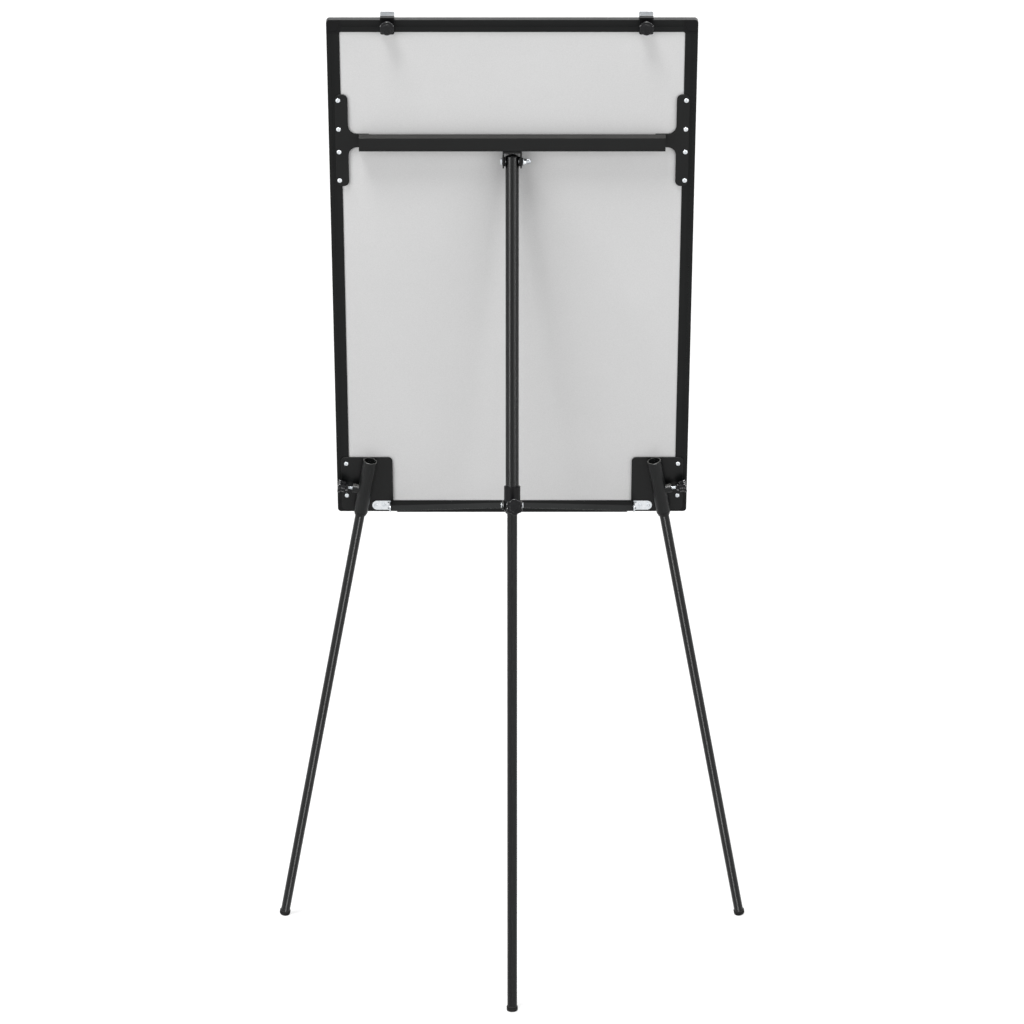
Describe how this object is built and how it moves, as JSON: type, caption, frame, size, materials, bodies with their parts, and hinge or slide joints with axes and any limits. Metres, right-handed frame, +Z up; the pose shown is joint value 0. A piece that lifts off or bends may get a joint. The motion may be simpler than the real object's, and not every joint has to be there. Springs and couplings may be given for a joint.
{
  "type": "whiteboard easel",
  "caption": "Portable whiteboard on a folding tripod: framed panel, telescoping legs locked by star knobs, hooked stays, sliding pad hooks and a pen tray.",
  "frame": {"origin": "on the floor, midway between the two sides and midway between the front feet and the rear foot", "axes": "+Z up; the writing face looks towards -Y and leans back; the rear leg stands on the +Y side; +X is the writer's right"},
  "size_m": [0.8468, 0.4476, 1.7048],
  "materials": {
    "frame_black": "black powder coat on extruded aluminium, fine satin texture",
    "plastic_black": "moulded black polypropylene, matt",
    "knob_black": "moulded black plastic with a soft gloss",
    "sheet_white": "white dry-wipe lacquer on steel",
    "core_board": "plain light fibreboard",
    "sheet_grey": "pale grey lacquered sheet, matt",
    "steel_black": "black powder-coated sheet steel",
    "tube_black": "black semi-gloss coated steel tube",
    "zinc_steel": "bright zinc plating",
    "hook_aluminium": "mill-finish aluminium",
    "foot_rubber": "black rubber"
  },
  "bodies": {
    "board": {"back_sheet": "sheet_grey", "board_core": "core_board", "bottom_left_cap": "plastic_black", "bottom_rail": "frame_black", "bottom_right_cap": "plastic_black", "bracket_rivets": "zinc_steel", "corner_rivets": "zinc_steel", "crossbar": "steel_black", "left_corner_plate": "steel_black", "left_leg_socket": "steel_black", "left_socket_bush": "plastic_black", "left_stay_bracket": "zinc_steel", "left_stile": "frame_black", "left_tee_plate": "steel_black", "leg_clevis": "steel_black", "pen_tray": "steel_black", "pivot_bolt": "zinc_steel", "pivot_washers": "plastic_black", "right_corner_plate": "steel_black", "right_leg_socket": "steel_black", "right_socket_bush": "plastic_black", "right_stay_bracket": "zinc_steel", "right_stile": "frame_black", "right_tee_plate": "steel_black", "stay_pivot_rivets": "zinc_steel", "tee_rivets": "zinc_steel", "top_left_cap": "plastic_black", "top_rail": "frame_black", "top_right_cap": "plastic_black", "tray_screws": "zinc_steel", "writing_sheet": "sheet_white"},
    "rear_leg": {"rear_outer_tube": "tube_black", "rear_top_plug": "plastic_black", "rear_collar": "plastic_black", "collar_studs": "zinc_steel"},
    "rear_leg_lower": {"rear_inner_tube": "tube_black", "rear_inner_plug": "plastic_black", "rear_foot": "foot_rubber"},
    "rear_clamp": {"rear_knob": "knob_black", "rear_clamp_screw": "zinc_steel"},
    "left_leg": {"left_leg_tube": "tube_black", "left_leg_plug": "plastic_black", "left_foot": "foot_rubber"},
    "right_leg": {"right_leg_tube": "tube_black", "right_leg_plug": "plastic_black", "right_foot": "foot_rubber"},
    "left_clamp": {"left_leg_knob": "knob_black", "left_clamp_screw": "zinc_steel"},
    "right_clamp": {"right_leg_knob": "knob_black", "right_clamp_screw": "zinc_steel"},
    "pivot_nut": {"wing_nut": "zinc_steel"},
    "left_stay_arm": {"left_stay": "steel_black"},
    "right_stay_arm": {"right_stay": "steel_black"},
    "left_clip": {"left_clip_body": "plastic_black", "left_pad_hook": "hook_aluminium"},
    "right_clip": {"right_clip_body": "plastic_black", "right_pad_hook": "hook_aluminium"},
    "left_clip_clamp": {"left_clip_knob": "knob_black"},
    "right_clip_clamp": {"right_clip_knob": "knob_black"}
  },
  "joints": [
    {"name": "rear_leg_fold", "type": "hinge", "parent": "board", "child": "rear_leg", "pos_m": [0, 0.09401, 1.45447], "axis": [-1, 0, 0], "range_deg": [0, 16.73]},
    {"name": "left_stay_swing", "type": "hinge", "parent": "board", "child": "left_stay_arm", "pos_m": [0, -0.04149, 0.82274], "axis": [1, 0, 0], "range_deg": [0, 54.93]},
    {"name": "right_stay_swing", "type": "hinge", "parent": "board", "child": "right_stay_arm", "pos_m": [0, -0.04149, 0.82274], "axis": [1, 0, 0], "range_deg": [0, 54.93]},
    {"name": "rear_leg_extend", "type": "slide", "parent": "rear_leg", "child": "rear_leg_lower", "axis": [0, -0.0825, 0.9966], "range_m": [0, 0.47]},
    {"name": "left_leg_extend", "type": "slide", "parent": "board", "child": "left_leg", "axis": [0.1819, 0.2044, 0.9618], "range_m": [0, 0.575]},
    {"name": "right_leg_extend", "type": "slide", "parent": "board", "child": "right_leg", "axis": [-0.1819, 0.2044, 0.9618], "range_m": [0, 0.575]},
    {"name": "rear_clamp_turn", "type": "hinge", "parent": "rear_leg", "child": "rear_clamp", "pos_m": [0, 0.14096, 0.88711], "axis": [-0.0958, 0.992, 0.0821], "range_deg": [0, 720]},
    {"name": "left_clamp_turn", "type": "hinge", "parent": "board", "child": "left_clamp", "pos_m": [-0.25232, -0.0327, 0.85833], "axis": [-0.9833, 0.0378, 0.1779], "range_deg": [0, 720]},
    {"name": "right_clamp_turn", "type": "hinge", "parent": "board", "child": "right_clamp", "pos_m": [0.25232, -0.0327, 0.85833], "axis": [0.9833, 0.0378, 0.1779], "range_deg": [0, 720]},
    {"name": "pivot_nut_turn", "type": "hinge", "parent": "board", "child": "pivot_nut", "pos_m": [0, 0.09401, 1.45447], "axis": [-1, 0, 0], "range_deg": [0, 540]},
    {"name": "left_clip_slide", "type": "slide", "parent": "board", "child": "left_clip", "axis": [1, 0, 0], "range_m": [-0.06, 0.18]},
    {"name": "right_clip_slide", "type": "slide", "parent": "board", "child": "right_clip", "axis": [1, 0, 0], "range_m": [-0.18, 0.07]},
    {"name": "left_clip_turn", "type": "hinge", "parent": "left_clip", "child": "left_clip_clamp", "pos_m": [-0.216, 0.12755, 1.68442], "axis": [0, 0.9781, -0.2079], "range_deg": [0, 540]},
    {"name": "right_clip_turn", "type": "hinge", "parent": "right_clip", "child": "right_clip_clamp", "pos_m": [0.2014, 0.12755, 1.68442], "axis": [0, 0.9781, -0.2079], "range_deg": [0, 540]}
  ],
  "couplings": [
    {"joint": "left_stay_swing", "follows": "rear_leg_fold", "ratio": 3.2827},
    {"joint": "right_stay_swing", "follows": "rear_leg_fold", "ratio": 3.2827}
  ]
}
